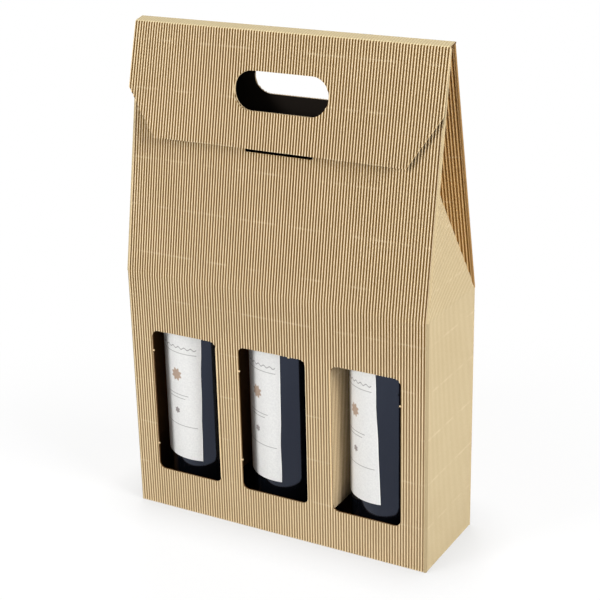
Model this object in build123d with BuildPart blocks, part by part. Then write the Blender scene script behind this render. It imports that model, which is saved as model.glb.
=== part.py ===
# Gift carton for three bottles, folded from one sheet of open-flute kraft board.
# Millimetres. The origin is the middle of the underside, +Z is up and the front faces -Y.
import math
import os

from build123d import *

# Board: a smooth liner inside and open flutes outside
board = 1.5
flute_height = 0.8
flute_pitch = 2.4
fold_radius = 2.5

# Carton: an upright box up to the break line, then two panels that lean to a narrow ridge
carton_width = 270.0
carton_depth = 88.0
carton_height = 409.0
break_height = 210.0
ridge_width = 10.0
ridge_lead = 10.6

# Side gussets, folded inwards between the leaning panels
gusset_inset = 43.5
gusset_head = 31.0

# Windows in the front between four equal posts, two of them with their panel folded in as a divider
window_post = 22.5
window_bottom = 35.0
window_head = 49.0
window_radius = 5.5

# Bottom flaps: a long pair that meets at a seam, and a short pair above it
seam_offset = 17.0
seam_gap = 0.6
side_flap_length = 78.0

# Closing flap over the front, with a tongue that goes into a slit
flap_length = 91.5
flap_side_length = 54.0
flap_corner_width = 26.0
flap_gap = 0.4
flap_spring = 2.0
hinge_gap = 0.3
tongue_width = 57.0
tongue_depth = 13.0
slit_width = 60.0
slit_clearance = 0.5
slit_sag = 1.4

# Hand hole through the flap and both leaning panels
hand_hole_length = 81.0
hand_hole_height = 28.5
hand_hole_drop = 44.4

# Bottles, as large as the bays of the carton take
side_play = 9.0
depth_play = 13.0
head_room = 109.0
heel_radius = 5.0
foot_ring = 5.0
punt_depth = 16.0
punt_share = 0.72
shoulder_drop = 112.0
neck_length = 72.0
shoulder_share = 0.6
neck_diameter = 29.0
mouth_diameter = 27.0
lip_diameter = 29.5
lip_height = 6.0
bottle_clearance = 0.3
middle_bottle_shift = -5.6
right_bottle_lead = 3.5

# Labels and capsules; a label reaches round the glass from the front of its bottle
label_thickness = 0.2
label_level = 43.0
label_head = 19.0
label_length = 96.0
label_reaches = {"left": 13.195, "middle": 7.540, "right": 4.084}
capsule_thickness = 0.3
capsule_length = 62.0
skin_clearance = 0.05

# One overrun serves every cut
overrun = 5.0

half_width = carton_width / 2
half_depth = carton_depth / 2
rise = carton_height - break_height
gusset_rise = rise - gusset_head
liner = board - flute_height
panel_top = carton_height - board - flap_gap
hand_hole_level = carton_height - hand_hole_drop
window_width = (carton_width - 4 * window_post) / 3
window_pitch = window_width + window_post
window_top = break_height - window_head

# Creases of the ridge, and how far each leaning panel runs in over the rise
front_crease = Vector(0, -ridge_lead, carton_height)
back_crease = Vector(0, ridge_width - ridge_lead, carton_height)
flap_lean = math.atan2(half_depth - ridge_lead, rise)
front_run = half_depth - ridge_lead + (board + flap_gap) / math.cos(flap_lean)
back_run = half_depth - back_crease.Y
front_slope = Vector(0, front_run, rise)
back_slope = Vector(0, -back_run, rise)
panel_share = (panel_top - break_height) / rise

across = Vector(1, 0, 0)


def front_y(level):
    """Outer face of the front panel at a level above the break line."""
    return -half_depth + front_run * (level - break_height) / rise


def back_y(level):
    """Outer face of the back panel at a level above the break line."""
    return half_depth - back_run * (level - break_height) / rise


def fluted_edge(start, end, outward, depth=flute_height):
    """Crests and valleys along a straight wall, with a crest at both ends."""
    start, end, outward = Vector(*start), Vector(*end), Vector(*outward)
    run = end - start
    count = max(1, round(run.length / flute_pitch))
    points = [start]
    for index in range(count):
        points.append(start + run * ((2 * index + 1) / (2 * count)) - outward * depth)
        points.append(start + run * ((index + 1) / count))
    return points


# Section of the upright walls, with the four folds rounded
corner_x = half_width - fold_radius
corner_y = half_depth - fold_radius
with BuildSketch() as wall_section:
    with BuildLine():
        Polyline(*fluted_edge((-corner_x, -half_depth), (corner_x, -half_depth), (0, -1)))
        CenterArc((corner_x, -corner_y), fold_radius, -90, 90)
        Polyline(*fluted_edge((half_width, -corner_y), (half_width, corner_y), (1, 0)))
        CenterArc((corner_x, corner_y), fold_radius, 0, 90)
        Polyline(*fluted_edge((corner_x, half_depth), (-corner_x, half_depth), (0, 1)))
        CenterArc((-corner_x, corner_y), fold_radius, 90, 90)
        Polyline(*fluted_edge((-half_width, corner_y), (-half_width, -corner_y), (-1, 0)))
        CenterArc((-corner_x, -corner_y), fold_radius, 180, 90)
    make_face()
    Rectangle(carton_width - 2 * board, carton_depth - 2 * board, mode=Mode.SUBTRACT)

break_plane = Plane.XY.offset(break_height)
with BuildSketch(break_plane) as front_section:
    add(wall_section.sketch)
    with Locations((0, -half_depth + board / 2)):
        Rectangle(carton_width, board, mode=Mode.INTERSECT)

with BuildSketch(break_plane) as back_section:
    add(wall_section.sketch)
    with Locations((0, half_depth - board / 2)):
        Rectangle(carton_width, board, mode=Mode.INTERSECT)

with BuildSketch(break_plane) as side_section:
    add(wall_section.sketch)
    with Locations((half_width - board / 2, 0)):
        Rectangle(board, carton_depth, mode=Mode.INTERSECT)

# Upright walls with their windows
window_height = window_top - window_bottom
front_plane = Plane(origin=(0, -half_depth, 0), x_dir=(1, 0, 0), z_dir=(0, -1, 0))
window_middle = (window_bottom + window_top) / 2
with BuildPart() as walls:
    extrude(wall_section.sketch, amount=break_height)
    with BuildSketch(front_plane):
        with Locations(*[(place * window_pitch, window_middle) for place in (-1, 0, 1)]):
            RectangleRounded(window_width, window_height, window_radius)
    extrude(amount=board + overrun, both=True, mode=Mode.SUBTRACT)

# The window panels folded in as dividers beside the middle bottle
divider_face = window_pitch - window_width / 2
divider_end = -half_depth + window_width
with BuildPart() as dividers:
    with BuildSketch(Plane.XY.offset(window_bottom)):
        with BuildLine():
            root = -half_depth + board
            fluted = fluted_edge((divider_face, root), (divider_face, divider_end), (1, 0))
            Polyline(*fluted, (divider_face - board, divider_end), (divider_face - board, root), close=True)
        make_face()
    extrude(amount=window_height)
    with BuildSketch(Plane.YZ.offset(divider_face)):
        with Locations((-half_depth + window_width / 2, window_middle)):
            RectangleRounded(window_width, window_height, window_radius)
    extrude(amount=board + overrun, both=True, mode=Mode.INTERSECT)
    mirror(about=Plane.YZ)

# Bottom flaps
seated_width = carton_width - 2 * board + liner
seated_depth = carton_depth - 2 * board + liner
with BuildPart() as bottom:
    with BuildSketch():
        Rectangle(seated_width, seated_depth)
        with Locations((0, seam_offset)):
            Rectangle(seated_width, seam_gap, mode=Mode.SUBTRACT)
    extrude(amount=board)
    with BuildSketch(Plane.XY.offset(board)):
        for side in (-1, 1):
            with Locations((side * (seated_width - side_flap_length) / 2, 0)):
                Rectangle(side_flap_length, carton_depth - 2 * board)
    extrude(amount=board)

# Gusset: a middle triangle and two wings, each trimmed by the inner faces of the other two
apex_level = break_height + gusset_rise
apex = Vector(half_width - gusset_inset, (front_y(apex_level) + back_y(apex_level)) / 2, apex_level)
gusset_slope = apex - Vector(half_width, 0, break_height)
front_wing_run = Vector(-gusset_inset, apex.Y - front_y(apex_level), 0)
back_wing_run = Vector(-gusset_inset, apex.Y - back_y(apex_level), 0)
front_wing_face = Vector(front_wing_run.Y, -front_wing_run.X, 0).normalized()
back_wing_face = Vector(-back_wing_run.Y, back_wing_run.X, 0).normalized()

gusset_plane = Plane(
    origin=(half_width - board, 0, break_height),
    x_dir=(0, 1, 0),
    z_dir=Vector(0, 1, 0).cross(gusset_slope),
)
front_wing_plane = Plane(
    origin=(half_width, -half_depth, break_height),
    x_dir=front_wing_run,
    z_dir=front_wing_run.cross(front_slope),
)
back_wing_plane = Plane(
    origin=(half_width, half_depth, break_height),
    x_dir=back_wing_run,
    z_dir=back_slope.cross(back_wing_run),
)
side_plane = Plane(origin=(half_width, 0, 0), x_dir=(0, 1, 0), z_dir=(-1, 0, 0))

with BuildPart() as gusset_middle:
    extrude(side_section.sketch, amount=gusset_slope.length * rise / gusset_rise, dir=gusset_slope)
    split(bisect_by=front_wing_plane, keep=Keep.TOP)
    split(bisect_by=back_wing_plane, keep=Keep.TOP)
    mirror(about=Plane.YZ)


def wing_outline(corner, run, face):
    """Section of a gusset wing at the break line, fluted on the face that shows."""
    reach = run + run.normalized() * overrun
    outer = corner + face * board
    return fluted_edge(outer, outer + reach, face) + [corner + reach, corner]


with BuildPart() as front_wing:
    with BuildSketch(break_plane):
        with BuildLine():
            corner = Vector(half_width, -half_depth, 0)
            Polyline(*wing_outline(corner, front_wing_run, front_wing_face), close=True)
        make_face()
    extrude(amount=front_slope.length * panel_share, dir=front_slope)
    split(bisect_by=gusset_plane, keep=Keep.TOP)
    split(bisect_by=back_wing_plane, keep=Keep.TOP)
    split(bisect_by=side_plane, keep=Keep.TOP)
    mirror(about=Plane.YZ)

with BuildPart() as back_wing:
    with BuildSketch(break_plane):
        with BuildLine():
            corner = Vector(half_width, half_depth, 0)
            Polyline(*wing_outline(corner, back_wing_run, back_wing_face), close=True)
        make_face()
    extrude(amount=back_slope.length * panel_share, dir=back_slope)
    split(bisect_by=gusset_plane, keep=Keep.TOP)
    split(bisect_by=front_wing_plane, keep=Keep.TOP)
    split(bisect_by=side_plane, keep=Keep.TOP)
    mirror(about=Plane.YZ)

# Closing flap: the ridge strip and the flap share one section on the mitre of the front crease
spring_angle = math.atan2(flap_spring, flap_length)
flap_angle = math.atan2(front_run, rise) + spring_angle
flap_down = Vector(0, -math.sin(flap_angle), -math.cos(flap_angle))
flap_out = Vector(0, -math.cos(flap_angle), math.sin(flap_angle))
strip_back = Vector(0, 1, 0)
mitre = (flap_down + strip_back).normalized()
mitre_stretch = 1 / mitre.cross(strip_back).length
mitre_plane = Plane(origin=front_crease, x_dir=across, z_dir=across.cross(mitre))
with BuildSketch(mitre_plane) as flap_section:
    with BuildLine():
        crests = fluted_edge((-half_width, 0), (half_width, 0), (0, -1), flute_height * mitre_stretch)
        back_edge = board * mitre_stretch
        Polyline(*crests, (half_width, back_edge), (-half_width, back_edge), close=True)
    make_face()

flap_plane = Plane(origin=front_crease, x_dir=across, z_dir=flap_out)
flap_hole_drop = hand_hole_drop / math.cos(flap_angle)
flap_edge = half_width - flap_corner_width

# The strip ends on the mitre of the back crease, a small gap from the back panel
back_down = Vector(0, back_run, -rise).normalized()
back_mitre = (back_down - strip_back).normalized()
hinge_plane = Plane(
    origin=back_crease - strip_back * hinge_gap,
    x_dir=across,
    z_dir=across.cross(back_mitre),
)
back_panel_plane = Plane(origin=back_crease, x_dir=across, z_dir=across.cross(back_mitre))

# The tongue bends round the back crease, so that it leaves the slit as the flap turns
flap_end = front_crease + flap_down * flap_length - flap_out * board
tongue_arm = flap_end - back_crease
tongue_radius = tongue_arm.length
tongue_angle = math.degrees(math.atan2(tongue_arm.Z, tongue_arm.Y))
tongue_root = math.degrees(liner / 2 / tongue_radius)
tongue_sweep = math.degrees(tongue_depth / tongue_radius)
turning_plane = Plane(origin=back_crease, x_dir=(0, 1, 0), z_dir=(1, 0, 0))


def ring_sector(inner, outer, start, sweep):
    """Closed outline between two arcs about the origin of the sketch."""
    near = CenterArc((0, 0), inner, start, sweep)
    far = CenterArc((0, 0), outer, start, sweep)
    Line(near @ 0, far @ 0)
    Line(near @ 1, far @ 1)


with BuildPart() as ridge_strip:
    extrude(flap_section.sketch, amount=ridge_width, dir=strip_back)
    split(bisect_by=hinge_plane, keep=Keep.BOTTOM)

with BuildPart() as closing_flap:
    extrude(flap_section.sketch, amount=flap_length + overrun, dir=flap_down)
    with BuildSketch(flap_plane):
        Polygon(
            (-half_width, overrun),
            (half_width, overrun),
            (half_width, -flap_side_length),
            (flap_edge, -flap_length),
            (-flap_edge, -flap_length),
            (-half_width, -flap_side_length),
            align=None,
        )
    extrude(amount=board + overrun, both=True, mode=Mode.INTERSECT)
    with BuildSketch(flap_plane):
        with Locations((0, -flap_hole_drop)):
            SlotOverall(hand_hole_length, hand_hole_height)
    extrude(amount=board + overrun, both=True, mode=Mode.SUBTRACT)
    add(ridge_strip.part)
    with BuildSketch(turning_plane):
        with BuildLine():
            ring_sector(
                tongue_radius - board,
                tongue_radius,
                tongue_angle - tongue_root,
                tongue_root + tongue_sweep,
            )
        make_face()
    extrude(amount=tongue_width / 2, both=True)

# Leaning panels, with the hand hole in both and the slit in the front one
front_out = Vector(0, -rise, front_run).normalized()
back_out = Vector(0, rise, back_run).normalized()
front_hole_plane = Plane(
    origin=(0, front_y(hand_hole_level), hand_hole_level), x_dir=across, z_dir=front_out
)
back_hole_plane = Plane(
    origin=(0, back_y(hand_hole_level), hand_hole_level), x_dir=across, z_dir=back_out
)
slit_reach = flap_spring + flap_gap + board + overrun

with BuildPart() as front_panel:
    extrude(front_section.sketch, amount=front_slope.length * panel_share, dir=front_slope)
    with BuildSketch(front_hole_plane):
        SlotOverall(hand_hole_length, hand_hole_height)
    extrude(amount=board + overrun, both=True, mode=Mode.SUBTRACT)
    with BuildSketch(turning_plane):
        with BuildLine():
            ring_sector(
                tongue_radius - board - slit_clearance,
                tongue_radius + slit_clearance + slit_sag,
                tongue_angle,
                math.degrees(slit_reach / tongue_radius),
            )
        make_face()
    extrude(amount=slit_width / 2, both=True, mode=Mode.SUBTRACT)

with BuildPart() as back_panel:
    extrude(back_section.sketch, amount=back_slope.length, dir=back_slope)
    split(bisect_by=back_panel_plane, keep=Keep.TOP)
    with BuildSketch(back_hole_plane):
        SlotOverall(hand_hole_length, hand_hole_height)
    extrude(amount=board + overrun, both=True, mode=Mode.SUBTRACT)

# The folded sheet
with BuildPart() as carton:
    add(
        [
            walls.part,
            front_panel.part,
            back_panel.part,
            gusset_middle.part,
            front_wing.part,
            back_wing.part,
            bottom.part,
            dividers.part,
        ]
    )

# Bottles stand on the bottom flaps, the outer two on the short pair and beside the dividers
bay_width = half_width - board - divider_face
bottle_diameter = min(bay_width - side_play, carton_depth - 2 * board - depth_play)
bottle_height = carton_height - head_room
bottle_radius = bottle_diameter / 2
outer_place = divider_face + bottle_clearance + bottle_radius
bottle_feet = {
    "left": Vector(-outer_place, 0, 2 * board),
    "middle": Vector(middle_bottle_shift, 0, board),
    "right": Vector(outer_place, -right_bottle_lead, 2 * board),
}
neck_radius = neck_diameter / 2
mouth_radius = mouth_diameter / 2
lip_radius = lip_diameter / 2
lip_level = bottle_height - lip_height
punt_radius = bottle_radius - heel_radius - foot_ring
shoulder_level = bottle_height - shoulder_drop
neck_level = bottle_height - neck_length
shoulder_turn = Vector(
    bottle_radius + (neck_radius - bottle_radius) * shoulder_share,
    shoulder_level + (neck_level - shoulder_level) * shoulder_share,
)
capsule_level = bottle_height - capsule_length
capsule_top = bottle_height + skin_clearance
capsule_skirt = neck_radius + skin_clearance
capsule_crown = lip_radius + skin_clearance
label_inner = bottle_radius + skin_clearance
label_sweep = math.degrees(label_length / bottle_radius)
front_turn = 90
label_height = shoulder_level - label_level - label_head

os.makedirs("parts", exist_ok=True)

for place, foot in bottle_feet.items():
    upright = Plane(origin=foot, x_dir=across, z_dir=(0, -1, 0))
    axis = Axis(foot, (0, 0, 1))

    with BuildPart() as bottle:
        with BuildSketch(upright):
            with BuildLine():
                ThreePointArc(
                    (0, punt_depth),
                    (punt_radius * punt_share, punt_depth * punt_share),
                    (punt_radius, 0),
                )
                Line((punt_radius, 0), (bottle_radius - heel_radius, 0))
                RadiusArc((bottle_radius - heel_radius, 0), (bottle_radius, heel_radius), -heel_radius)
                Line((bottle_radius, heel_radius), (bottle_radius, shoulder_level))
                shoulder = TangentArc((bottle_radius, shoulder_level), shoulder_turn, tangent=(0, 1))
                TangentArc(shoulder_turn, (neck_radius, neck_level), tangent=shoulder % 1)
                Polyline(
                    (neck_radius, neck_level),
                    (mouth_radius, lip_level),
                    (lip_radius, lip_level),
                    (lip_radius, bottle_height),
                    (0, bottle_height),
                    (0, punt_depth),
                )
            make_face()
        revolve(axis=axis)

    label_end = math.degrees(label_reaches[place] / bottle_radius) - front_turn
    with BuildPart() as label:
        with BuildSketch(Plane(origin=foot + Vector(0, 0, label_level))):
            with BuildLine():
                ring_sector(
                    label_inner,
                    label_inner + label_thickness,
                    label_end - label_sweep,
                    label_sweep,
                )
            make_face()
        extrude(amount=label_height)

    with BuildPart() as capsule:
        with BuildSketch(upright):
            Polygon(
                (capsule_skirt, capsule_level),
                (capsule_skirt + capsule_thickness, capsule_level),
                (capsule_crown + capsule_thickness, capsule_top + capsule_thickness),
                (0, capsule_top + capsule_thickness),
                (0, capsule_top),
                (capsule_crown, capsule_top),
                align=None,
            )
        revolve(axis=axis)

    for name, piece in (("bottle", bottle), ("label", label), ("capsule", capsule)):
        piece.part.label = f"{name}_{place}"
        export_step(piece.part, f"parts/{name}_{place}.step")

carton.part.label = "carton"
export_step(carton.part, "parts/carton.step")
closing_flap.part.label = "closing_flap"
export_step(closing_flap.part, "parts/closing_flap.step")
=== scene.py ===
# %% [markdown]
# # A gift carton for three bottles
# The carton is one sheet of kraft board with open flutes: a smooth liner inside, and outside the
# bare wave of the fluting. The CAD frame gives every size and place, and this lesson dresses it:
# first the camera, then the finishes of the board, the folded carton and its closing flap, then the
# bottles with their labels and capsules, and at the end the floor and the light.

# %% Load the frame
import math

import bpy
from mathutils import Matrix, Vector


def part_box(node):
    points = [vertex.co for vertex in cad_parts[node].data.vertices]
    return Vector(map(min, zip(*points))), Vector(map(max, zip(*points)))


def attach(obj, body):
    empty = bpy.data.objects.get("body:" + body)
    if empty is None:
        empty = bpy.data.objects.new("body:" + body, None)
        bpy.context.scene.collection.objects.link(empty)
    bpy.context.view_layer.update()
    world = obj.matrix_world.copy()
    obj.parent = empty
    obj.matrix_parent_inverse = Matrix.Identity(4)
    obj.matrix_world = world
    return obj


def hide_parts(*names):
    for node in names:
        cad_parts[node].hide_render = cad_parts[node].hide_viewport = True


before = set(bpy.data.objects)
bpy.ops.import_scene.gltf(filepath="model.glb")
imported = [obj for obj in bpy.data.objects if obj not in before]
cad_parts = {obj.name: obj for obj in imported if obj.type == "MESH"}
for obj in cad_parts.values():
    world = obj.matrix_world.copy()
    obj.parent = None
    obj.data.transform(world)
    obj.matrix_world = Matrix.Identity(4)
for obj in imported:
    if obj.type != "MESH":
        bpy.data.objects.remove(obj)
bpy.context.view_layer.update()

mm = 0.001

# %% [markdown]
# ## Camera
# The photograph looks down a little from the right of the front. A camera can be placed by eye, but
# here its direction, distance and focal length were worked out from the carton's corners, so its
# three axes are written down directly: right, up, and back towards the viewer.

# %% Place the camera
view_turn = math.radians(29.76)
view_height = math.radians(20.92)
view_roll = math.radians(-1.35)
view_place = Vector((561.8, -979.1, 622.9)) * mm

view_back = Vector((
    math.sin(view_turn) * math.cos(view_height),
    -math.cos(view_turn) * math.cos(view_height),
    math.sin(view_height),
))
level_right = Vector((math.cos(view_turn), math.sin(view_turn), 0))
level_up = view_back.cross(level_right)
view_right = level_right * math.cos(view_roll) + level_up * math.sin(view_roll)
view_up = level_up * math.cos(view_roll) - level_right * math.sin(view_roll)
view_axes = Matrix((view_right, view_up, view_back)).transposed().to_4x4()

bpy.ops.object.select_all(action="DESELECT")
bpy.ops.object.camera_add()
camera = bpy.context.object
camera.matrix_world = Matrix.Translation(view_place) @ view_axes
camera.data.sensor_width = 36
camera.data.lens = 90.28
camera.data.clip_end = 20
bpy.context.scene.camera = camera
bpy.context.scene.view_settings.view_transform = "Standard"
print("camera at", [round(value, 3) for value in camera.location])

# %% [markdown]
# ## Shader maths in plain sums
# A node tree is hard to read as a list of links. A small class stands for a socket, so that sums of
# sockets add Math nodes, and one method adds any other node with its settings and inputs.

# %% Sockets as values


class Wire:
    """A socket of a node tree that can be added, multiplied and so on."""

    def __init__(self, tree, socket):
        self.tree = tree
        self.socket = socket

    def node(self, kind, settings=None, inputs=None, output=0):
        """Add a node, set it up, feed its inputs, and return one of its outputs."""
        made = self.tree.nodes.new(kind)
        for name, value in (settings or {}).items():
            setattr(made, name, value)
        for name, value in (inputs or {}).items():
            if isinstance(value, Wire):
                self.tree.links.new(value.socket, made.inputs[name])
            else:
                made.inputs[name].default_value = value
        return Wire(self.tree, made.outputs[output])

    def other(self, output):
        """Another output of the same node."""
        return Wire(self.tree, self.socket.node.outputs[output])

    def sum(self, operation, first, second=0.0):
        """One Math node."""
        return self.node("ShaderNodeMath", {"operation": operation}, {0: first, 1: second})

    def __add__(self, other):
        return self.sum("ADD", self, other)

    __radd__ = __add__

    def __sub__(self, other):
        return self.sum("SUBTRACT", self, other)

    def __rsub__(self, other):
        return self.sum("SUBTRACT", other, self)

    def __mul__(self, other):
        return self.sum("MULTIPLY", self, other)

    __rmul__ = __mul__

    def __truediv__(self, other):
        return self.sum("DIVIDE", self, other)

    def __pow__(self, other):
        return self.sum("POWER", self, other)

    def size(self):
        """The value without its sign."""
        return self.sum("ABSOLUTE", self)

    def wave(self):
        """Cosine of the value as a share of a full turn, from 0 at whole turns to 1 between them."""
        return 0.5 - 0.5 * self.sum("COSINE", self * math.tau)

    def step(self, low, high):
        """A smooth step from 0 at low to 1 at high."""
        inputs = {"Value": self, "From Min": low, "From Max": high}
        return self.node("ShaderNodeMapRange", {"interpolation_type": "SMOOTHSTEP"}, inputs)

    def band(self, low, high, soft):
        """1 between low and high, with soft ends."""
        return self.step(low - soft, low + soft) * (1 - self.step(high - soft, high + soft))

    def mix(self, first, second):
        """This value as a mask between two colours."""
        settings = {"data_type": "RGBA"}
        return self.node("ShaderNodeMix", settings, {0: self, 6: first, 7: second}, output=2)


print("a wire can:", [name for name in vars(Wire) if not name.startswith("_")])

# %% [markdown]
# ## Colours and finishes
# Colours are written as they read on screen, and turned into the renderer's linear scale. A finish
# is one Principled shader: a value that is the same all over is set on its own socket, and only
# what changes over the surface is linked. A pattern finds its place by Object coordinates, or by
# the UV map of a sheet, in metres, where it has to bend with the sheet.

# %% Colours and shaders


def colour(red, green, blue):
    """A colour as it reads on screen, 0 to 255, in the renderer's own linear scale."""
    shares = [value / 255 for value in (red, green, blue)]
    linear = [s / 12.92 if s <= 0.04045 else ((s + 0.055) / 1.055) ** 2.4 for s in shares]
    return (*linear, 1.0)


def new_finish(name, **plain):
    """A material with one Principled shader, and the wire that its nodes start from."""
    finish = bpy.data.materials.new(name)
    finish.use_nodes = True
    shader = finish.node_tree.nodes["Principled BSDF"]
    for socket, value in plain.items():
        shader.inputs[socket.replace("_", " ")].default_value = value
    return finish, Wire(finish.node_tree, None), shader


def feed(finish, shader, **sockets):
    """Link wires to the shader's inputs."""
    for name, wire in sockets.items():
        finish.node_tree.links.new(wire.socket, shader.inputs[name.replace("_", " ")])


print("mid grey on screen, in linear light:", round(colour(128, 128, 128)[0], 3))

# %% Places, noise and bump


def object_place(wire):
    """The place on a piece, in Object coordinates."""
    return wire.node("ShaderNodeTexCoord", output="Object")


def sheet_place(wire):
    """The distances across a sheet and along it, from its UV map."""
    sheet_map = wire.node("ShaderNodeUVMap", {"uv_map": "sheet"})
    across = wire.node("ShaderNodeSeparateXYZ", None, {0: sheet_map})
    return across, across.other(1)


def noise(place, scale, detail):
    """Soft noise from 0 to 1."""
    inputs = {"Vector": place, "Scale": scale, "Detail": detail}
    return place.node("ShaderNodeTexNoise", None, inputs)


def bump(height, strength, distance):
    """A surface direction that follows a height."""
    inputs = {"Strength": strength, "Distance": distance, "Height": height}
    return height.node("ShaderNodeBump", None, inputs)


print("pattern helpers:", [helper.__name__ for helper in (object_place, sheet_place, noise, bump)])

# %% [markdown]
# ## Kraft finishes
# The fluted side is paler on its crests and browner in the troughs of its wave, where the brown is
# painted shade, with a contrast that fades a little towards the base. Faint pale lines cross the
# flutes where the rolls of the machine held the paper. An image could show all this, but nodes stay
# sharp at any size. Front, sides, gusset wings and ridge strip catch the light differently and get
# tones of their own: painted light on the sides and the ridge strip, painted shade on the wings.
# Liner, cut edges and crushed folds are plain paper between two tones; the liner is kraft darkened
# with painted shade for the unlit inside, and the folds are toned down with painted shade.

# %% Fluted and plain paper
flute_pitch = 2.4 * mm
finger_pitch = 38 * mm
finger_tone = colour(240, 224, 190)
finger_sharpness = 260.0
finger_strength = 0.21
base_contrast = 0.76
grain_scale = 1400.0
grain_height = 0.3 * mm


def fibre(place):
    """Mottled paper as a mask: broad clouds and fine fibres."""
    clouds = noise(place, 26.0, 3.0)
    fibres = noise(place, 900.0, 2.0)
    mottle = 0.5 + (clouds - 0.5) * 0.35 + (fibres - 0.5) * 0.5
    return mottle.step(0.1, 0.9)


def flute_finish(name, crests, valley_shades):
    """Open flutes: two tones of crest, and two of painted shade in the troughs, with faint lines
    across.
    """
    finish, wire, shader = new_finish(name, Roughness=0.85, Specular_IOR_Level=0.15)
    place = object_place(wire)
    across, along = sheet_place(wire)
    height = wire.node("ShaderNodeSeparateXYZ", None, {0: place}, output=2)
    contrast = base_contrast + (1 - base_contrast) * height.step(0.04, 0.26)
    # Painted shade: the troughs of the wave are darkened in the colour, where the wave hides them
    # from light.
    valley_shade = (across / flute_pitch).wave().step(0.12, 0.62) * contrast
    paper = fibre(place)
    toned = valley_shade.mix(paper.mix(*crests), paper.mix(*valley_shades))
    finger = (along / finger_pitch + 0.5).wave() ** finger_sharpness
    patches = noise(place, 60.0, 1.0).step(0.35, 0.7)
    lined = (finger * patches * finger_strength).mix(toned, finger_tone)
    grain = bump(noise(place, grain_scale, 3.0), 0.18, grain_height)
    feed(finish, shader, Base_Color=lined, Normal=grain)
    return finish


def smooth_finish(name, dark, pale):
    """Plain kraft paper between two tones."""
    finish, wire, shader = new_finish(name, Roughness=0.82, Specular_IOR_Level=0.2)
    place = object_place(wire)
    grain = bump(noise(place, grain_scale, 3.0), 0.15, grain_height)
    feed(finish, shader, Base_Color=fibre(place).mix(dark, pale), Normal=grain)
    return finish


print("flutes every", flute_pitch, "m, pale lines every", finger_pitch, "m")

# %% Tones of the board
kraft_flutes = flute_finish(
    "kraft_flutes",
    (colour(216, 193, 154), colour(232, 212, 176)),
    (colour(100, 71, 23), colour(122, 90, 40)),
)
# The sides' own copy of the flutes: paler troughs and a flatter tone, painted light as if lit
# head-on.
kraft_sides_painted_light = flute_finish(
    "kraft_sides_painted_light",
    (colour(197, 180, 144), colour(208, 193, 159)),
    (colour(170, 149, 113), colour(184, 165, 129)),
)
# The wings' copy is browner and darker: painted shade, as they lie in the shade of the gusset.
kraft_wings_painted_shade = flute_finish(
    "kraft_wings_painted_shade",
    (colour(192, 158, 110), colour(206, 174, 126)),
    (colour(136, 96, 42), colour(156, 116, 60)),
)
# The ridge strip's copy is paler and flatter: painted light on the strip that faces up.
kraft_ridge_painted_light = flute_finish(
    "kraft_ridge_painted_light",
    (colour(226, 208, 166), colour(238, 222, 182)),
    (colour(206, 186, 143), colour(219, 200, 158)),
)
# The liner is kraft darkened with painted shade for the unlit inside; the same dark finish is painted
# shade on the window jambs and the cut end of the ridge strip.
kraft_liner_and_painted_shade = smooth_finish("kraft_liner_and_painted_shade", colour(84, 57, 31), colour(108, 78, 46))
# The back's inside is near black: painted shade in the recess seen through the hand holes.
rear_liner_painted_shade = smooth_finish("rear_liner_painted_shade", colour(18, 12, 6), colour(26, 18, 10))
# The fold strips are toned down with painted shade: darker on the front fold, the tongue and the
# upright corners, which the lamps would light too brightly, and browner on the back fold, in the
# gusset's shade.
kraft_fold_painted_shade = smooth_finish("kraft_fold_painted_shade", colour(183, 163, 125), colour(199, 179, 141))
corner_fold_painted_shade = smooth_finish("corner_fold_painted_shade", colour(164, 145, 110), colour(179, 161, 127))
back_fold_painted_shade = smooth_finish("back_fold_painted_shade", colour(150, 115, 68), colour(168, 132, 84))
cut_edge = smooth_finish("cut_edge", colour(206, 176, 130), colour(238, 216, 176))
fluted_finishes = (kraft_flutes, kraft_sides_painted_light, kraft_wings_painted_shade, kraft_ridge_painted_light)
plain_finishes = (kraft_liner_and_painted_shade, rear_liner_painted_shade, kraft_fold_painted_shade, corner_fold_painted_shade, back_fold_painted_shade, cut_edge)
print("fluted finishes:", [finish.name for finish in fluted_finishes])
print("plain finishes:", [finish.name for finish in plain_finishes])

# %% [markdown]
# ## A sheet of open-flute board
# Every wall of the carton is a piece of the same board, so one helper makes them all. A grid is
# given its thickness by Solidify, then each column of its outer face drops into a wave, while the
# liner behind stays flat. The rows follow a profile of (out, up) points, so one sheet bends over the
# break line or round the ridge. Sheets are made facing -Y, like the front.

# %% A flat sheet with a thickness
liner_slot = 1
rim_slot = 2


def deselect_all():
    """Leave edit mode and select nothing."""
    if bpy.context.mode != "OBJECT":
        bpy.ops.object.mode_set(mode="OBJECT")
    bpy.ops.object.select_all(action="DESELECT")


def make_active(piece):
    """Select one piece alone, as the operators expect."""
    deselect_all()
    piece.select_set(True)
    bpy.context.view_layer.objects.active = piece


def flat_sheet(name, columns, rows, thickness, finishes):
    """A grid of side 1 with a thickness under it, finished on its face, its back and its rim."""
    deselect_all()
    bpy.ops.mesh.primitive_grid_add(x_subdivisions=columns, y_subdivisions=rows, size=1)
    sheet = bpy.context.object
    sheet.name = name
    sheet.data.uv_layers[0].name = "sheet"
    for finish in finishes:
        sheet.data.materials.append(finish)
    last_slot = len(finishes) - 1
    wall = sheet.modifiers.new("thickness", "SOLIDIFY")
    wall.thickness = thickness
    wall.offset = -1
    wall.material_offset = min(liner_slot, last_slot)
    wall.material_offset_rim = min(rim_slot, last_slot)
    bpy.ops.object.modifier_apply(modifier="thickness")
    return sheet


def map_sheet(sheet, flat_places):
    """Write each vertex's place on the flat sheet to the UV map."""
    for loop in sheet.data.loops:
        sheet.data.uv_layers["sheet"].data[loop.index].uv = flat_places[loop.vertex_index]


print("slots of a sheet: face 0, liner", liner_slot, "and rim", rim_slot)

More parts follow.
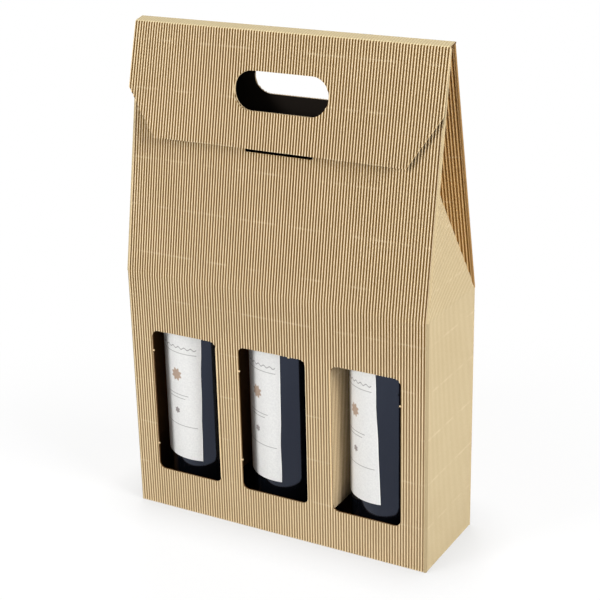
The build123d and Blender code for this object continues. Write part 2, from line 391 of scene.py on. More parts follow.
# %% A fluted sheet
board = 1.5 * mm
flute_height = 0.8 * mm
flute_steps = 10
flute_sharpness = 0.9
pressed_drop = 0.4 * flute_height
plain_columns = 4


def flute_drop(column):
    """How far a column of the grid lies below the crests."""
    turn = column / flute_steps
    return flute_height * (0.5 - 0.5 * math.cos(math.tau * turn)) ** flute_sharpness


def profile_runs(path):
    """The steps from each point of a profile to the next."""
    points = [Vector(point[:2]) for point in path]
    return [b - a for a, b in zip(points, points[1:])]


def profile_normals(path):
    """Outward direction at each point of a profile, lengthened at corners as on a mitre."""
    runs = [run.normalized() for run in profile_runs(path)]
    normals = []
    for before, after in zip([runs[0]] + runs, runs + [runs[-1]]):
        mean = (before + after).normalized()
        normals.append(Vector((mean.y, -mean.x)) / mean.dot(after))
    return normals


def board_sheet(name, width, path, outside=kraft_flutes, inside=kraft_liner_and_painted_shade):
    """A sheet of board facing -Y whose crests follow path: (out, up, share pressed flat) points."""
    fluted = outside in fluted_finishes
    columns = max(1, round(width / flute_pitch)) * flute_steps if fluted else plain_columns
    rows = len(path) - 1
    sheet = flat_sheet(name, columns, rows, board, (outside, inside, cut_edge))
    normals = profile_normals(path)
    lengths = [0.0]
    for run in profile_runs(path):
        lengths.append(lengths[-1] + run.length)
    flat_places = {}
    for vertex in sheet.data.vertices:
        column = round((vertex.co.x + 0.5) * columns)
        row = round((vertex.co.y + 0.5) * rows)
        out, up, pressed = (*path[row], 0.0)[:3]
        drop = 0.0
        if vertex.co.z < -board / 2:
            drop = board
        elif fluted:
            drop = flute_drop(column) * (1 - pressed) + pressed_drop * pressed
        across = width * (column / columns - 0.5)
        shift = normals[row] * drop
        vertex.co = (across, -(out - shift.x), up - shift.y)
        flat_places[vertex.index] = (flute_pitch * column / flute_steps, lengths[row])
    map_sheet(sheet, flat_places)
    return sheet


print("board:", board, "m thick, flutes", flute_height, "m deep")

# %% [markdown]
# ## Cutting, copying and joining
# A die cuts the real sheet before it is folded. Here the folded sheets are trimmed along planes with
# Bisect, and windows and holes are cut by rounded blocks with a Boolean, which passes a block's own
# finish to the cut faces. A piece is moved by its mesh, so that its object stays at the origin.

# %% Cutting
aligned = 0.99
edge_select = (False, True, False)


def trim(piece, point, keep):
    """Cut a piece by a plane and keep the side that keep points to, with the cut closed."""
    make_active(piece)
    bpy.ops.object.mode_set(mode="EDIT")
    bpy.ops.mesh.select_all(action="SELECT")
    bpy.ops.mesh.bisect(plane_co=point, plane_no=keep, use_fill=True, clear_inner=True)
    bpy.ops.object.mode_set(mode="OBJECT")
    facing = Vector(keep).normalized()
    for face in piece.data.polygons:
        if face.select and abs(face.normal.dot(facing)) > aligned:
            face.material_index = rim_slot
            if face.normal.dot(facing) > 0:
                face.flip()


def cutter(name, size, radius, centre, lean=0.0, finish=cut_edge):
    """A block with rounded edges along its depth, for cutting windows and holes."""
    deselect_all()
    bpy.ops.mesh.primitive_cube_add(size=1, location=centre, rotation=(lean, 0, 0), scale=size)
    block = bpy.context.object
    block.name = name
    bpy.ops.object.transform_apply(location=False, rotation=False, scale=True)
    bpy.context.tool_settings.mesh_select_mode = edge_select
    bpy.ops.object.mode_set(mode="EDIT")
    bpy.ops.mesh.select_all(action="DESELECT")
    bpy.ops.object.mode_set(mode="OBJECT")
    for edge in block.data.edges:
        a, b = (block.data.vertices[index].co for index in edge.vertices)
        edge.select = abs((a - b).normalized().y) > aligned
    bpy.ops.object.mode_set(mode="EDIT")
    bpy.ops.mesh.bevel(offset=radius, segments=10, affect="EDGES")
    bpy.ops.object.mode_set(mode="OBJECT")
    bpy.ops.object.transform_apply(location=True, rotation=True, scale=False)
    block.data.materials.append(finish)
    return block


def combine(piece, blocks, operation="DIFFERENCE"):
    """Cut blocks out of a piece, or keep only what is inside them."""
    for block in blocks:
        change = piece.modifiers.new("cut", "BOOLEAN")
        change.operation = operation
        change.object = block
        change.solver = "EXACT"
        change.material_mode = "TRANSFER"
        make_active(piece)
        bpy.ops.object.modifier_apply(modifier="cut")
        bpy.data.objects.remove(block)


print("cutting helpers:", [helper.__name__ for helper in (trim, cutter, combine)])

# %% Moving, mirroring and joining
half_turn = Matrix.Rotation(math.pi, 4, "Z")
quarter_turn = Matrix.Rotation(math.pi / 2, 4, "Z")
fold_angle = math.radians(52)


def move_mesh(piece, matrix):
    """Move a piece by changing its mesh, so that the object itself stays at the origin."""
    piece.data.transform(matrix)
    piece.data.update()


def mirrored(piece, name):
    """A copy with its own mesh on the other side of the carton."""
    make_active(piece)
    bpy.ops.object.duplicate()
    copy = bpy.context.object
    copy.name = name
    move_mesh(copy, Matrix.Scale(-1, 4, (1, 0, 0)))
    bpy.ops.object.mode_set(mode="EDIT")
    bpy.ops.mesh.select_all(action="SELECT")
    bpy.ops.mesh.flip_normals()
    bpy.ops.object.mode_set(mode="OBJECT")
    return copy


def joined(name, pieces):
    """One object from several, with smooth flutes and sharp folds."""
    make_active(pieces[0])
    for piece in pieces:
        piece.select_set(True)
    bpy.ops.object.join()
    whole = bpy.context.object
    whole.name = name
    bpy.ops.object.shade_smooth_by_angle(angle=fold_angle)
    return whole


print("folds stay sharp above", round(math.degrees(fold_angle)), "degrees")

# %% [markdown]
# ## Front and back
# The front stands upright to the break line and then leans back to the ridge; the back does the
# same, and ends a little higher, because the ridge strip rises towards it. A row on the break line
# presses the flutes flat there, as the crease does. The three windows, the hand holes and the slit
# are cut out, and the die leaves small nicks of card in the windows, where it held the sheet.

# %% Sizes of the carton
half_width = 135 * mm
half_depth = 44 * mm
carton_height = 409 * mm
break_height = 210 * mm
fold_radius = 1.9 * mm
flap_gap = 0.4 * mm
ridge_front = 10.6 * mm
ridge_back = 0.6 * mm
ridge_crown = 2.0 * mm
strip_cover = 1.2 * mm
rise = carton_height - break_height
panel_top = carton_height - board - flap_gap
rear_top = carton_height + ridge_crown - strip_cover
flap_lean = math.atan2(half_depth - ridge_front, rise)
front_run = half_depth - ridge_front + (board + flap_gap) / math.cos(flap_lean)
back_run = half_depth + ridge_back
front_lean = math.atan2(front_run, rise)
back_lean = math.atan2(back_run, rise)
sheet_width = 2 * (half_width - fold_radius)
print("the front leans by", round(math.degrees(front_lean), 1), "degrees")
print("the back leans by", round(math.degrees(back_lean), 1), "degrees")

# %% Fold the front and the back
crease = 1.6 * mm
crease_dent = 0.1 * mm
crease_press = 0.75


def front_out(level):
    """How far the leaning front stands out at a level."""
    return half_depth - front_run * (level - break_height) / rise


def back_out(level):
    """How far the leaning back stands out at a level."""
    return half_depth - back_run * (level - break_height) / rise


def wall_path(out, top):
    """An upright wall up to the break line, a pressed crease, and a leaning panel above."""
    return [
        (half_depth, 0.0),
        (half_depth, break_height - crease),
        (half_depth - crease_dent, break_height, crease_press),
        (out(break_height + crease), break_height + crease),
        (out(top), top),
    ]


front = board_sheet("front", sheet_width, wall_path(front_out, panel_top))
# The back's inside takes the near-black painted shade.
rear = board_sheet("rear", sheet_width, wall_path(back_out, rear_top), inside=rear_liner_painted_shade)
move_mesh(rear, half_turn)
print("front and back faces:", len(front.data.polygons), len(rear.data.polygons))

# %% Cut the windows
cut_depth = 12 * mm
window_pitch = 82.5 * mm
window_middle = 98 * mm
window_width = 60 * mm
window_height = 126 * mm
window_corner = 5.5 * mm
window_wear = {-1: 1.4 * mm, 0: 1.4 * mm, 1: 0.0}

# The window blocks give their cut faces the dark liner finish: painted shade on the jambs.
windows = []
for along_front, wear in window_wear.items():
    middle = (along_front * window_pitch - wear / 2, -half_depth, window_middle)
    size = (window_width + wear, cut_depth, window_height)
    windows.append(cutter(f"window_{along_front}", size, window_corner, middle, finish=kraft_liner_and_painted_shade))
combine(front, windows)
print("windows cut:", len(windows))

# %% Cut the hand holes and the slit
hole_level = 364.6 * mm
hole_size = Vector((81 * mm, cut_depth, 28.5 * mm))
hole_round = 14.1 * mm
hole_wear = Vector((1.4, 0, 2.0)) * mm
back_trim = Vector((6.0, 0, 3.0)) * mm
back_level = hole_level + ridge_crown + back_trim.z / 2
slit_level = 319.0 * mm
slit_size = Vector((60 * mm, cut_depth, 3.4 * mm))
slit_round = 1.2 * mm


def hand_hole(name, growth, centre, lean):
    """The block for one hand hole, grown from the common size."""
    return cutter(name, hole_size + growth, hole_round + growth.z / 2, centre, lean)


front_place = (0, -front_out(hole_level), hole_level)
back_place = (0, back_out(back_level), back_level)
slit_place = (0, -front_out(slit_level), slit_level)
front_hole = hand_hole("front_hole", 2 * hole_wear, front_place, -front_lean)
back_hole = hand_hole("back_hole", -back_trim, back_place, back_lean)
slit = cutter("slit", slit_size, slit_round, slit_place, -front_lean)
combine(front, [front_hole, slit])
combine(rear, [back_hole])
print("front and back faces after cutting:", len(front.data.polygons), len(rear.data.polygons))

# %% Nicks left by the die
nick_size = Vector((1.6, 0.8, 1.2)) * mm
nick_round = 0.3 * mm
nick_depth = -43.4
nick_places = [(-113.6, 143), (-113.6, 58), (-31.1, 140), (-31.1, 61), (15.3, 160.7), (112.2, 139)]
nicks = []
for nick_x, nick_level in nick_places:
    nick_centre = Vector((nick_x, nick_depth, nick_level)) * mm
    nicks.append(cutter("nick", nick_size, nick_round, nick_centre))
print("nicks left by the die:", len(nicks))

# %% [markdown]
# ## Sides and gussets
# Each side stands upright to the break line, and above it folds inwards as a gusset: a middle
# triangle that leans in to an apex, and two wings that fold back to the leaning panels. The sheets
# are made too large and then trimmed with Bisect by each other's planes, as the creases lie.

# %% Planes of the gusset
apex_level = 378 * mm
apex = Vector((91.5 * mm, (back_out(apex_level) - front_out(apex_level)) / 2, apex_level))
front_foot = Vector((half_width, -half_depth, break_height))
back_foot = Vector((half_width, half_depth, break_height))
front_edge = Vector((0, front_run, rise)).normalized()
back_edge = Vector((0, -back_run, rise)).normalized()
front_wing_run = Vector((apex.x - half_width, apex.y + front_out(apex_level), 0))
back_wing_run = Vector((apex.x - half_width, apex.y - back_out(apex_level), 0))
front_wing_face = front_wing_run.cross(front_edge).normalized()
back_wing_face = back_edge.cross(back_wing_run).normalized()
gusset_slope = apex - Vector((half_width, 0, break_height))
gusset_face = Vector((0, 1, 0)).cross(gusset_slope).normalized()
gusset_foot = Vector((half_width - board, 0, break_height))
print("gusset apex:", [round(value, 4) for value in apex])

# %% Fold the right side
side_press = 0.6
break_press = 0.9
gusset_press = 0.4
break_dent = 0.2 * mm
past_apex = 1.02


def gusset_point(share):
    """A point of the side's profile on the gusset, by its share of the way to the apex."""
    return (half_width + gusset_slope.x * share, break_height + gusset_slope.z * share, gusset_press)


side_path = [
    (half_width, 0.0, side_press),
    (half_width, break_height - crease, side_press),
    (half_width - break_dent, break_height, break_press),
    gusset_point(crease / gusset_slope.z),
    gusset_point(past_apex),
]
side = board_sheet("side", 2 * (half_depth - fold_radius), side_path, kraft_sides_painted_light)
move_mesh(side, quarter_turn)
trim(side, front_foot, front_wing_face)
trim(side, back_foot, back_wing_face)
print("side faces:", len(side.data.polygons))

# %% Fold the wings and mirror the side
wing_width = 50.4 * mm
wing_length = 206 * mm
wing_inset = 0.6 * mm


def wing_sheet(name, foot, edge, face, inward):
    """A gusset wing that starts on a panel's edge, with its crests one board above its plane."""
    sheet = board_sheet(name, wing_width, [(board, 0.0), (board, wing_length)], kraft_wings_painted_shade)
    move_mesh(sheet, Matrix.Translation((inward * wing_width / 2, 0, 0)))
    axes = Matrix((edge.cross(face), -face, edge)).transposed().to_4x4()
    move_mesh(sheet, Matrix.Translation(foot) @ axes)
    return sheet


front_wing = wing_sheet("front_wing", front_foot, front_edge, front_wing_face, 1)
trim(front_wing, gusset_foot, gusset_face)
trim(front_wing, back_foot, back_wing_face)
back_wing = wing_sheet("back_wing", back_foot, back_edge, back_wing_face, -1)
trim(back_wing, gusset_foot, gusset_face)
trim(back_wing, front_foot, front_wing_face)
for wing in (front_wing, back_wing):
    trim(wing, (0, 0, panel_top), (0, 0, -1))
    trim(wing, (half_width - wing_inset, 0, 0), (-1, 0, 0))
right_side = [side, front_wing, back_wing]
left_side = [mirrored(piece, "left_" + piece.name) for piece in right_side]
print("wing faces:", len(front_wing.data.polygons), len(back_wing.data.polygons))

# %% [markdown]
# ## Rounded folds
# Board does not fold to a knife edge: at each upright corner and along each leaning edge it turns
# in a small round, with its flutes crushed smooth. A Bevel would round the wave as well, so a strip
# with a round profile is laid along each fold. It gives the line that shows there, pale on the front
# edge and browner on the back one. The fold tones are painted shade: darker than the paper where the
# lamps would light the rounds too brightly, and browner on the back edge, in the shade of the gusset.

# %% Lay the upright corners


def arc(centre, radius, start, end, steps):
    """Points of a profile on a circle, by angle in degrees from straight out."""
    turns = [math.radians(start + (end - start) * step / steps) for step in range(steps + 1)]
    return [(centre[0] + radius * math.cos(t), centre[1] + radius * math.sin(t)) for t in turns]


upright = Matrix(((0, 0, 1), (0, 1, 0), (-1, 0, 0))).to_4x4()
stand = Matrix.Translation((0, 0, break_height / 2)) @ upright
corner_path = arc((half_depth - fold_radius, half_width - fold_radius), fold_radius, 0, 90, 8)
front_corner = board_sheet("front_corner", break_height, corner_path, corner_fold_painted_shade)
move_mesh(front_corner, stand)
back_corner = board_sheet("back_corner", break_height, corner_path, corner_fold_painted_shade)
move_mesh(back_corner, half_turn @ stand)
print("corner faces:", len(front_corner.data.polygons))

# %% Lay the leaning edges and mirror the folds
edge_radius = 0.95 * mm
edge_length = 207 * mm


def edge_fold(name, run, top, outside):
    """The fold between a leaning panel and its gusset wing, at the front right."""
    path = [(0.0, half_width - fold_radius)]
    path += arc((-edge_radius, half_width - edge_radius), edge_radius, 0, 180, 10)
    path += [(-2 * edge_radius, half_width - fold_radius)]
    strip = board_sheet(name, edge_length, path, outside)
    edge = Vector((0, run, rise)).normalized()
    outward = Vector((0, -rise, run)).normalized()
    axes = Matrix((-edge, -outward, Vector((1, 0, 0)))).transposed().to_4x4()
    middle = Vector((0, -half_depth, break_height)) + edge * edge_length / 2
    move_mesh(strip, Matrix.Translation(middle) @ axes)
    trim(strip, (0, 0, top), (0, 0, -1))
    return strip


front_fold = edge_fold("front_fold", front_run, panel_top, kraft_fold_painted_shade)
back_fold = edge_fold("back_fold", back_run, rear_top, back_fold_painted_shade)
move_mesh(back_fold, half_turn)
folds = [front_corner, back_corner, front_fold, back_fold]
folds += [mirrored(piece, "other_" + piece.name) for piece in folds]
print("folds:", len(folds))

# %% [markdown]
# ## Dividers and bottom
# The two outer window panels are folded in along their inner edges and stand between the bottles.
# The bottom is a long pair of flaps that meets at a seam, with a short pair above it. The flaps are
# blocks with their edges rounded by Bevel, because their flutes are pressed flat under the load.

# %% Fold the dividers
divider_face = 52.5 * mm
divider_middle = -14 * mm
divider_path = [
    (divider_face, window_middle - window_height / 2),
    (divider_face, window_middle + window_height / 2),
]
divider = board_sheet("divider", window_width, divider_path)
divider_size = (window_width, cut_depth, window_height)
outline = cutter("outline", divider_size, window_corner, (0, -divider_face, window_middle))
combine(divider, [outline], "INTERSECT")
move_mesh(divider, Matrix.Translation((0, divider_middle, 0)) @ quarter_turn)
dividers = [divider, mirrored(divider, "left_divider")]
print("divider faces:", len(divider.data.polygons))

# %% Lay the bottom flaps
bottom_round = 0.35 * mm


def bottom_flap(name, low, high):
    """A flat flap between two corners, in millimetres, with softened edges."""
    low, high = Vector(low) * mm, Vector(high) * mm
    deselect_all()
    bpy.ops.mesh.primitive_cube_add(size=1, location=(low + high) / 2, scale=high - low)
    piece = bpy.context.object
    piece.name = name
    bpy.ops.object.transform_apply(location=True, rotation=False, scale=True)
    bpy.ops.object.mode_set(mode="EDIT")
    bpy.ops.mesh.select_all(action="SELECT")
    bpy.ops.mesh.bevel(offset=bottom_round, segments=3, affect="EDGES")
    bpy.ops.object.mode_set(mode="OBJECT")
    piece.data.uv_layers[0].name = "sheet"
    piece.data.materials.append(kraft_liner_and_painted_shade)
    return piece


bottom = [
    bottom_flap("bottom_front", (-134, -43, 0), (134, 16.7, 1.5)),
    bottom_flap("bottom_back", (-134, 17.3, 0), (134, 43, 1.5)),
    bottom_flap("bottom_left", (-134, -42.5, 1.5), (-56, 42.5, 3)),
    bottom_flap("bottom_right", (56, -42.5, 1.5), (134, 42.5, 3)),
]
print("bottom flaps:", [piece.name for piece in bottom])

# %% Join the carton
walls = [front, rear] + right_side + left_side
carton_sheet = joined("carton_sheet", walls + folds + dividers + bottom + nicks)
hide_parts("carton")
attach(carton_sheet, "carton")
print("carton sheet faces:", len(carton_sheet.data.polygons))

# %% [markdown]
# ## Closing flap
# The flap hangs from the ridge over the front, and turns about the crease behind the ridge strip.
# Strip, rounded crease and flap are one sheet, whose lower corners are cut off at a slant. The hand
# hole goes through it, and a tongue on its lower edge bends into the slit. Its free corners spring
# away from the panel, so the finished sheet is moved outwards there, point by point.

# %% Profile of the flap
flap_length = 90.1 * mm
flap_stand = 2 * mm
flap_angle = front_lean + math.atan2(flap_stand, flap_length)
flap_down = Vector((0, -math.sin(flap_angle), -math.cos(flap_angle)))
flap_out = Vector((0, -math.cos(flap_angle), math.sin(flap_angle)))
flap_rows = (1, 0.87, 0.74, 0.6, 0.45, 0.3, 0.15, 0.04)
ridge = Vector((0, -ridge_front, carton_height))
ridge_radius = 2.2 * mm
ridge_steps = 5
ridge_press = 0.85
strip_angle = math.pi / 2 - math.atan2(ridge_crown, ridge_front - ridge_back)
strip_gap = 0.35 * mm


def flap_point(down):
    """A point of the flap's profile, by its distance below the ridge crease."""
    return (ridge_front + down * math.sin(flap_angle), carton_height - down * math.cos(flap_angle))


facings = [Vector((math.cos(angle), math.sin(angle))) for angle in (flap_angle, strip_angle)]
crease_centre = Vector((ridge_front, carton_height))
crease_centre -= ridge_radius * (facings[0] + facings[1]) / (1 + facings[0].dot(facings[1]))
crease_turn = (math.degrees(flap_angle), math.degrees(strip_angle))
bend = arc(crease_centre, ridge_radius, *crease_turn, ridge_steps)
flap_path = [flap_point(flap_length * share) for share in flap_rows]
flap_path += [(*point, ridge_press * step / ridge_steps) for step, point in enumerate(bend)]
flap_path += [(ridge_back + strip_gap, carton_height + ridge_crown, ridge_press)]
print("flap profile points:", len(flap_path))

# %% Make and cut the flap
strip_slot = 3
strip_level = carton_height - 0.9 * mm
hole_drop = 0.5 * mm
flap_sides = {-1: 52.8 * mm, 1: 49.8 * mm}
corner_width = 26 * mm

flap = board_sheet("flap", 2 * half_width, flap_path)
flap.data.materials.append(kraft_ridge_painted_light)
# The ridge strip takes its paler finish, and its cut end the dark liner finish as painted shade.
strip_slots = (strip_slot, liner_slot, liner_slot)
for face in flap.data.polygons:
    if face.center.z > strip_level:
        face.material_index = strip_slots[face.material_index]

flap_hole = ridge + flap_down * (carton_height - hole_level + hole_drop) / math.cos(flap_angle)
combine(flap, [hand_hole("flap_hole", hole_wear, flap_hole, -flap_angle)])
for hand, side_length in flap_sides.items():
    corner = ridge + flap_down * side_length + Vector((hand * half_width, 0, 0))
    slant = Vector((-hand * corner_width, 0, 0)) + flap_down * (flap_length - side_length)
    keep = slant.cross(flap_out).normalized()
    if keep.x * hand > 0:
        keep = -keep
    trim(flap, corner, keep)
print("flap faces:", len(flap.data.polygons))

# %% Spring the flap's corners
left_spring = 6.6 * mm
right_spring = 2.8 * mm
still_share = 0.3
for vertex in flap.data.vertices:
    down = max(0.0, (vertex.co - ridge).dot(flap_down)) / flap_length
    aside = max(0.0, abs(vertex.co.x) / half_width - still_share) / (1 - still_share)
    spring = left_spring if vertex.co.x < 0 else right_spring
    vertex.co += flap_out * spring * down**0.8 * aside**1.5
print("the corners spring by", left_spring, "and", right_spring, "m")

# %% Bend the tongue and join the flap
tongue_width = 57.6 * mm
tongue_length = 13 * mm
hinge = Vector((0, -ridge_back, carton_height))
tongue_root = ridge + flap_down * flap_length - flap_out * board - hinge
tongue_radius = tongue_root.length
tongue_end = math.degrees(math.atan2(tongue_root.z, -tongue_root.y))
tongue_start = tongue_end - math.degrees(tongue_length / tongue_radius)
tongue_path = arc((ridge_back, carton_height), tongue_radius, tongue_start, tongue_end, 6)
tongue = board_sheet("tongue", tongue_width, tongue_path, kraft_fold_painted_shade)

flap_sheet = joined("flap_sheet", [flap, tongue])
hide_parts("closing_flap")
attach(flap_sheet, "closing_flap")
print("flap sheet faces:", len(flap_sheet.data.polygons))

# %% [markdown]
# ## Bottle glass, label paper and foil
# The bottles are near-black glass, full, so nothing shows through them. Clear glass round dark wine
# would be slow to render and look the same, so a dark base lies under a sharp gloss, with a slight
# waviness that bends the reflections. The capsule is a satin foil. The label is matt off-white paper
# printed with a scalloped border, plain rules and two flower ornaments. Each mark is a mask worked
# out from the label's UV map, which needs no image.

# %% Bottle glass and capsule foil
bottle_glass, wire, shader = new_finish(
    "dark_bottle_glass",
    Base_Color=(0.002, 0.0025, 0.004, 1),
    IOR=1.61,
    Specular_Tint=(0.6, 0.7, 1.0, 1),
)
glass_place = object_place(wire)
ripple = bump(noise(glass_place, 38.0, 1.0), 0.12, 1 * mm)
smears = noise(glass_place, 14.0, 4.0).step(0.45, 0.8)
feed(bottle_glass, shader, Normal=ripple, Roughness=0.1 + 0.12 * smears)

capsule_foil, wire, shader = new_finish("capsule_foil", Metallic=0.4, Roughness=0.38)
crinkle = noise(object_place(wire), 160.0, 2.0)
foil = crinkle.step(0.3, 0.7).mix(colour(46, 42, 46), colour(62, 57, 61))
feed(capsule_foil, shader, Base_Color=foil, Normal=bump(crinkle, 0.15, 0.5 * mm))
print("bottle finishes:", bottle_glass.name, capsule_foil.name)

# %% Label paper and its print
label_length = 96 * mm
label_height = 126 * mm
print_left = 48
print_right = 92
scallop_level = 100 * mm
scallop_depth = 1.6 * mm
scallop_pitch = 6 * mm
rules = [(96, print_left, print_right), (58, 60, 84), (55, 63, 81), (30, print_left, print_right)]

label_paper, wire, shader = new_finish("label_paper", Roughness=0.6, Specular_IOR_Level=0.4)
label_across, label_up = sheet_place(wire)
fibres = noise(object_place(wire), 700.0, 3.0)
paper = fibres.step(0.2, 0.8).mix(colour(215, 215, 214), colour(227, 227, 225))


def print_width(first, last):
    """A mask between two distances across the label, in millimetres."""
    return label_across.band(first * mm, last * mm, 0.2 * mm)


scallop = label_up - scallop_level - scallop_depth * (label_across / scallop_pitch).wave()
lines = (1 - scallop.size().step(0.3 * mm, 0.7 * mm)) * print_width(print_left, print_right)
for rule_level, first, last in rules:
    rule = label_up.band((rule_level - 0.3) * mm, (rule_level + 0.3) * mm, 0.15 * mm)
    lines = lines + rule * print_width(first, last)
ruled = (lines * 0.6).mix(paper, colour(84, 80, 82))
print("printed rules:", len(rules))

# %% Ornaments and edge of the label


def rosette(x, y, radius, petals):
    """A small round ornament with a scalloped rim, as a mask on the label."""
    aside = label_across - x * mm
    above = label_up - y * mm
    reach = (aside**2.0 + above**2.0) ** 0.5 / (radius * mm)
    rim = 0.72 + 0.28 * (aside.sum("ARCTAN2", above, aside) * (petals / math.tau)).wave()
    return 1 - (reach / rim).step(0.85, 1.1)


flowered = (rosette(72, 76, 6.0, 8) * 0.75).mix(ruled, colour(150, 112, 76))
budded = (rosette(72, 43, 3.0, 6) * 0.7).mix(flowered, colour(96, 78, 78))
# A painted highlight: the last half millimetre of the label's end is paler, where light catches its
# edge.
painted_edge_highlight = label_across.step(label_length - 0.9 * mm, label_length - 0.3 * mm)
edged = (painted_edge_highlight * 0.8).mix(budded, colour(250, 250, 249))
feed(label_paper, shader, Base_Color=edged, Normal=bump(fibres, 0.1, 0.2 * mm))
print("label nodes:", len(label_paper.node_tree.nodes))

# %% [markdown]
# ## Bottles
# A bottle is a turned form. Spin could turn its profile, but leaves a seam to merge, so it is drawn
# up ring by ring from the hollow of its foot: the edge of a disc is extruded upwards and resized to
# the next radius, over the heel, the body, the shoulder and the neck, up to the lip. The same helper
# makes the capsules. A label is a thin sheet bent round the glass, a little askew, with a slightly
# ragged end.

# %% A turned piece
round_angle = math.radians(40)


def turned(name, foot, profile, finish, segments=96):
    """A round piece from (radius, height) rings in millimetres above foot, closed at both ends."""
    rings = [(radius * mm, level * mm) for radius, level in profile]
    radius, level = rings[0]
    deselect_all()
    bpy.ops.mesh.primitive_circle_add(
        vertices=segments, radius=radius, fill_type="TRIFAN", location=foot + Vector((0, 0, level))
    )
    piece = bpy.context.object
    piece.name = name
    bpy.ops.object.transform_apply(location=True, rotation=False, scale=False)
    bpy.context.tool_settings.mesh_select_mode = edge_select
    bpy.ops.object.mode_set(mode="EDIT")
    bpy.ops.mesh.select_all(action="DESELECT")
    bpy.ops.mesh.select_non_manifold()
    for (before, low), (after, high) in zip(rings, rings[1:]):
        bpy.ops.mesh.extrude_edges_move(TRANSFORM_OT_translate={"value": (0, 0, high - low)})
        share = after / before
        centre = foot + Vector((0, 0, high))
        bpy.ops.transform.resize(value=(share, share, 1), center_override=centre)
    bpy.ops.mesh.edge_face_add()
    bpy.ops.mesh.select_all(action="SELECT")
    bpy.ops.mesh.normals_make_consistent(inside=False)
    bpy.ops.object.mode_set(mode="OBJECT")
    bpy.ops.object.shade_smooth_by_angle(angle=round_angle)
    piece.data.materials.append(finish)
    return piece


print("rounds stay smooth up to", round(math.degrees(round_angle)), "degrees")

# %% A label round the glass
bottle_radius = 36
label_radius = (bottle_radius + 0.25) * mm
label_thickness = 0.18 * mm
label_foot = 43 * mm
label_grid = (64, 24)


def label_sheet(name, foot, end_turn, askew):
    """A paper label bent round a bottle, up to a turn from +X, and set on a little askew."""
    label = flat_sheet(name, *label_grid, label_thickness, [label_paper])
    tilt = math.tan(math.radians(askew))
    flat_places = {}
    for vertex in label.data.vertices:
        s, t = vertex.co.x + 0.5, vertex.co.y + 0.5
        ragged = 0.35 * mm * math.sin(5.1 * t + end_turn) + 0.2 * mm * math.sin(17 * t)
        length = s * (label_length + min(0.0, ragged) * s**6)
        slip = (t - 0.5) * label_height * tilt
        angle = math.radians(end_turn) + (length - label_length - slip) / (bottle_radius * mm)
        radius = label_radius + vertex.co.z
        level = label_foot + t * label_height + (s - 0.5) * label_length * tilt
        vertex.co = foot + Vector((radius * math.cos(angle), radius * math.sin(angle), level))
        flat_places[vertex.index] = (length, t * label_height)
    map_sheet(label, flat_places)
    make_active(label)
    bpy.ops.object.shade_smooth_by_angle(angle=round_angle)
    return label


print("label:", label_length, "by", label_height, "m")

# %% Profiles of bottle and capsule
bottle_profile = [(2, 16), (12, 14.6), (18.7, 11.5), (23.2, 6.5), (26, 0.3), (28, 0), (31, 0)]
bottle_profile += arc((31, 5), 5, -72, 0, 5)
bottle_profile += [(bottle_radius, 60), (bottle_radius, 120), (bottle_radius, 180)]
bottle_profile += arc((7.22, 188), 28.78, 0, 56.5, 12)
bottle_profile += arc((33.69, 228), 19.19, 231, 180, 10)
bottle_profile += [(14.2, 250), (13.8, 275), (13.5, 293.6), (14.4, 294), (14.75, 294.6)]
bottle_profile += [(14.75, 298.6), (14.3, 299.7), (13.2, 300), (9.5, 300), (9.3, 299.4), (2, 299.4)]
capsule_profile = [(2, 300.05), (14.75, 300.05), (14.72, 292), (14.55, 240), (14.55, 238)]
capsule_profile += [(14.85, 238), (14.88, 262), (14.98, 262.6), (14.92, 263.2), (15.02, 290)]
capsule_profile += [(15.08, 299), (14.9, 300.1), (14.2, 300.35), (11, 300.3), (2, 300.3)]
print("rings of bottle and capsule:", len(bottle_profile), len(capsule_profile))

# %% Stand the bottles in the carton
label_turns = {"left": (-67.0, -1.6), "middle": (-78.0, -0.5), "right": (-86.5, 2.0)}
for place, (end_turn, askew) in label_turns.items():
    low, high = (Vector(corner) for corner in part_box(f"bottle_{place}"))
    foot = Vector(((low.x + high.x) / 2, (low.y + high.y) / 2, low.z))
    bottle = turned(f"{place}_bottle", foot, bottle_profile, bottle_glass)
    capsule = turned(f"{place}_capsule", foot, capsule_profile, capsule_foil, segments=64)
    label = label_sheet(f"{place}_label", foot, end_turn, askew)
    for piece, node, slot in (
        (bottle, "bottle", "bottle_glass"),
        (label, "label", "label_paper"),
        (capsule, "capsule", "capsule_foil"),
    ):
        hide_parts(f"{node}_{place}")
        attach(piece, "carton")
    print(place, "bottle faces:", len(bottle.data.polygons), "foot:", [round(v, 4) for v in foot])

# %% [markdown]
# ## Floor and light
# The carton stands on a white sweep under soft light. The floor is pale and takes the shadow, with a
# painted contact shadow from an ambient occlusion node along the carton's foot, and fades to plain
# white around it. The world is white to the camera and in reflections, and a dim white as light. A
# broad lamp high on the right lights the side and draws the flutes, one at the front left lights the
# front, and one behind keeps the back from going dark.

# %% Floor
floor_size = 16
floor_level = -0.2 * mm
deselect_all()
bpy.ops.mesh.primitive_grid_add(
    x_subdivisions=8, y_subdivisions=8, size=floor_size, location=(0, 0, floor_level)
)
floor = bpy.context.object
floor.name = "floor"


def seen_rays(wire):
    """1 for rays from the camera, alone and together with those that gloss and glass show."""
    ray = wire.node("ShaderNodeLightPath")
    glossy = ray.sum("MAXIMUM", ray, ray.other("Is Glossy Ray"))
    return ray, ray.sum("MAXIMUM", glossy, ray.other("Is Transmission Ray"))


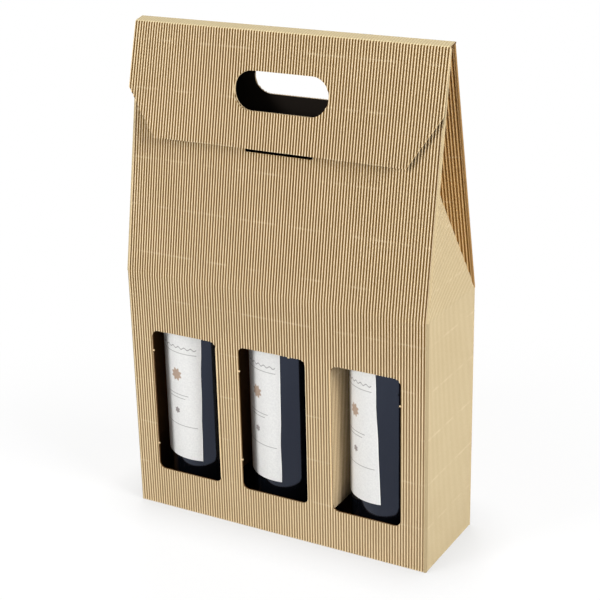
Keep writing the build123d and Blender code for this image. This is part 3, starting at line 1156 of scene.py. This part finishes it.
floor_paint, wire, shader = new_finish(
    "floor_paint", Roughness=1.0, Specular_IOR_Level=0.0, Emission_Strength=0.85
)
floor_place = object_place(wire)
reach = wire.node("ShaderNodeVectorMath", {"operation": "LENGTH"}, {0: floor_place}, output=1)
ray, seen = seen_rays(wire)
# A painted contact shadow: ambient occlusion darkens the floor's glow along the carton's foot.
near = wire.node("ShaderNodeAmbientOcclusion", None, {"Distance": 0.05}, output=1)
paint = ray.mix((0.9, 0.9, 0.9, 1), (0.16, 0.16, 0.16, 1))
feed(floor_paint, shader, Base_Color=paint, Emission_Color=ray * (0.58 + 0.42 * near))
painted = Wire(ray.tree, shader.outputs[0])
white = wire.node("ShaderNodeEmission", None, {"Color": (1, 1, 1, 1), "Strength": 1.0})
sweep = wire.node("ShaderNodeMixShader", None, {0: seen * reach.step(0.2, 0.5), 1: painted, 2: white})
ray.tree.links.new(sweep.socket, ray.tree.nodes["Material Output"].inputs["Surface"])
floor.data.materials.append(floor_paint)
print("floor:", floor_size, "m wide")

# %% World
world = bpy.data.worlds.new("studio")
bpy.context.scene.world = world
world.use_nodes = True
sky = Wire(world.node_tree, None)
ray, seen = seen_rays(sky)
dim = sky.node("ShaderNodeBackground", None, {"Color": (1, 1, 1, 1), "Strength": 0.1})
bright = sky.node("ShaderNodeBackground", None, {"Color": (1, 1, 1, 1), "Strength": 1.0})
air = sky.node("ShaderNodeMixShader", None, {0: seen, 1: dim, 2: bright})
world.node_tree.links.new(air.socket, world.node_tree.nodes["World Output"].inputs["Surface"])
print("world:", world.name)

# %% Lamps
lamp_aim = Vector((0, 0, 0.2))


def soft_lamp(name, place, size, power):
    """A square area lamp that faces the carton."""
    bpy.ops.object.light_add(type="AREA", location=place)
    lamp = bpy.context.object
    lamp.name = name
    lamp.data.size = size
    lamp.data.energy = power
    lamp.rotation_euler = (lamp_aim - Vector(place)).to_track_quat("-Z", "Y").to_euler()
    print(name, "lamp:", power, "W")


soft_lamp("key", (2.0, -0.45, 1.3), 0.9, 50)
soft_lamp("fill", (-1.15, -1.9, 1.0), 0.8, 39.5)
soft_lamp("rear", (-1.3, 2.0, 1.0), 1.1, 32)

# %% [markdown]
# The visual model has to stay inside the CAD model's box.
